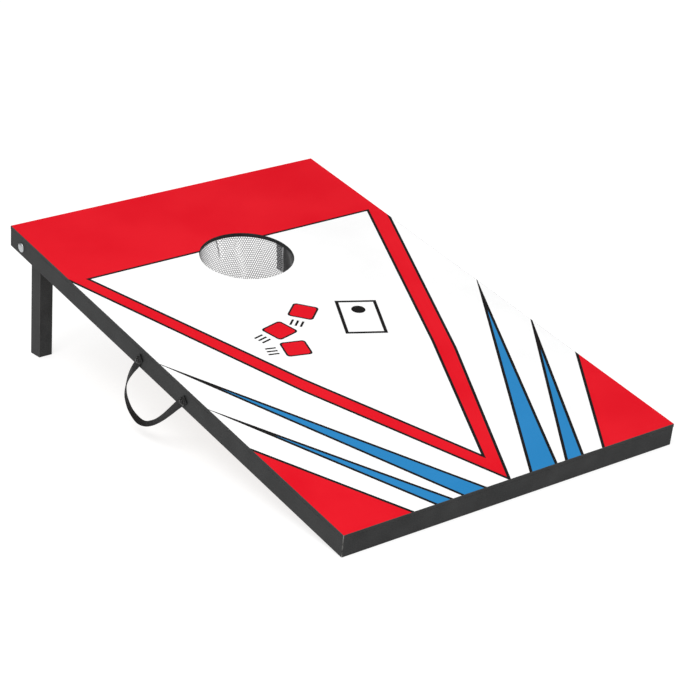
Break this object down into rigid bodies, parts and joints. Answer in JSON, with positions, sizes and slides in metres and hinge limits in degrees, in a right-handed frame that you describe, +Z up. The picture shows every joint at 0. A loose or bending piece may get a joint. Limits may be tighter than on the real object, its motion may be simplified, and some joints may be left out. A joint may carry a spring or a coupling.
{
  "type": "cornhole board",
  "caption": "Folding bean bag toss board: printed deck with a round hole and net bag on a black mitred frame, folding rear legs and a side carrying strap.",
  "frame": {"origin": "middle of the footprint, on the floor that the front edge and the two feet rest on", "axes": "+Y from the low front edge to the raised rear edge, +X to the right seen from the front, +Z up"},
  "size_m": [0.565, 0.9042, 0.2205],
  "materials": {
    "printed_deck": "satin printed face in red, white and blue on thin fibreboard",
    "black_painted_wood": "matt black paint over wood",
    "bare_wood": "planed, unfinished",
    "zinc_steel": "bright zinc plate",
    "blackened_steel": "black oxide",
    "black_nylon": "moulded",
    "webbing": "woven polypropylene tape",
    "netting": "fine knitted net with six-sided cells"
  },
  "bodies": {
    "frame": {"cross_brace": "bare_wood", "deck_panel": "printed_deck", "front_left_block": "bare_wood", "front_rail": "black_painted_wood", "front_right_block": "bare_wood", "hem_staple_1": "zinc_steel", "hem_staple_2": "zinc_steel", "hem_staple_3": "zinc_steel", "hem_staple_4": "zinc_steel", "hem_staple_5": "zinc_steel", "hem_staple_6": "zinc_steel", "hem_staple_7": "zinc_steel", "hem_staple_8": "zinc_steel", "left_leg_spacer": "black_nylon", "left_leg_washer": "zinc_steel", "left_pivot_bolt": "zinc_steel", "left_rail": "black_painted_wood", "net_bag": "netting", "net_hem": "webbing", "rear_rail": "black_painted_wood", "right_leg_spacer": "black_nylon", "right_leg_washer": "zinc_steel", "right_pivot_bolt": "zinc_steel", "right_rail": "black_painted_wood", "strap_front_end": "webbing", "strap_front_screw": "blackened_steel", "strap_front_washer": "blackened_steel", "strap_rear_end": "webbing", "strap_rear_screw": "blackened_steel", "strap_rear_washer": "blackened_steel"},
    "left_leg": {"left_leg": "black_painted_wood"},
    "right_leg": {"right_leg": "black_painted_wood"},
    "left_nut": {"left_wing_nut": "zinc_steel"},
    "right_nut": {"right_wing_nut": "zinc_steel"},
    "strap": {"strap_loop": "webbing"}
  },
  "joints": [
    {"name": "left_leg_fold", "type": "hinge", "parent": "frame", "child": "left_leg", "pos_m": [-0.23564, 0.39669, 0.19376], "axis": [-1, 0, 0], "range_deg": [0, 90]},
    {"name": "right_leg_fold", "type": "hinge", "parent": "frame", "child": "right_leg", "pos_m": [0.24316, 0.39669, 0.19376], "axis": [-1, 0, 0], "range_deg": [0, 90]},
    {"name": "left_nut_turn", "type": "hinge", "parent": "frame", "child": "left_nut", "pos_m": [-0.21914, 0.39669, 0.19376], "axis": [1, 0, 0], "range_deg": [0, 450]},
    {"name": "right_nut_turn", "type": "hinge", "parent": "frame", "child": "right_nut", "pos_m": [0.22666, 0.39669, 0.19376], "axis": [-1, 0, 0], "range_deg": [0, 450]},
    {"name": "strap_swing", "type": "hinge", "parent": "frame", "child": "strap", "pos_m": [-0.27704, -0.01053, 0.09238], "axis": [0, 0.9781, 0.2079], "range_deg": [0, 100]}
  ]
}
